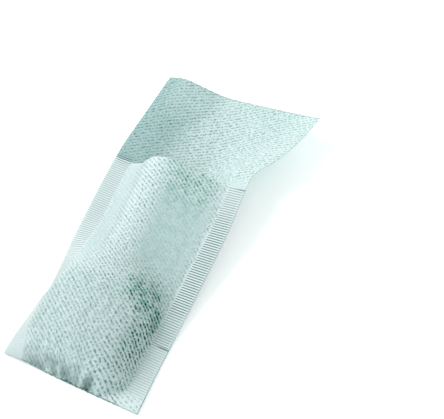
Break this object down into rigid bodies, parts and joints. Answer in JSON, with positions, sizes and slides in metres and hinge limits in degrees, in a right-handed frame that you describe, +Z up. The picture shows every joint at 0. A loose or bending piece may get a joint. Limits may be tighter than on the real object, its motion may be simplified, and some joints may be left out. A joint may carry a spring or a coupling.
{
  "type": "tea filter bag",
  "caption": "Open paper tea filter bag lying on its back, one folded sheet crimped along both long sides, with a bottom gusset, a long flap at the mouth and loose tea inside.",
  "frame": {"origin": "middle of the bounding box at table height", "axes": "+Y runs from the bottom fold to the flap, +X to the side whose seam is raised, +Z up from the table"},
  "size_m": [0.0774, 0.1648, 0.0162],
  "materials": {
    "filter_paper": "matt, thin and slightly see-through, embossed with a fine diamond lattice",
    "black_tea": "dry broken black tea leaves"
  },
  "bodies": {
    "root": {"filter_bag": "filter_paper", "tea_leaves": "black_tea"}
  },
  "joints": []
}
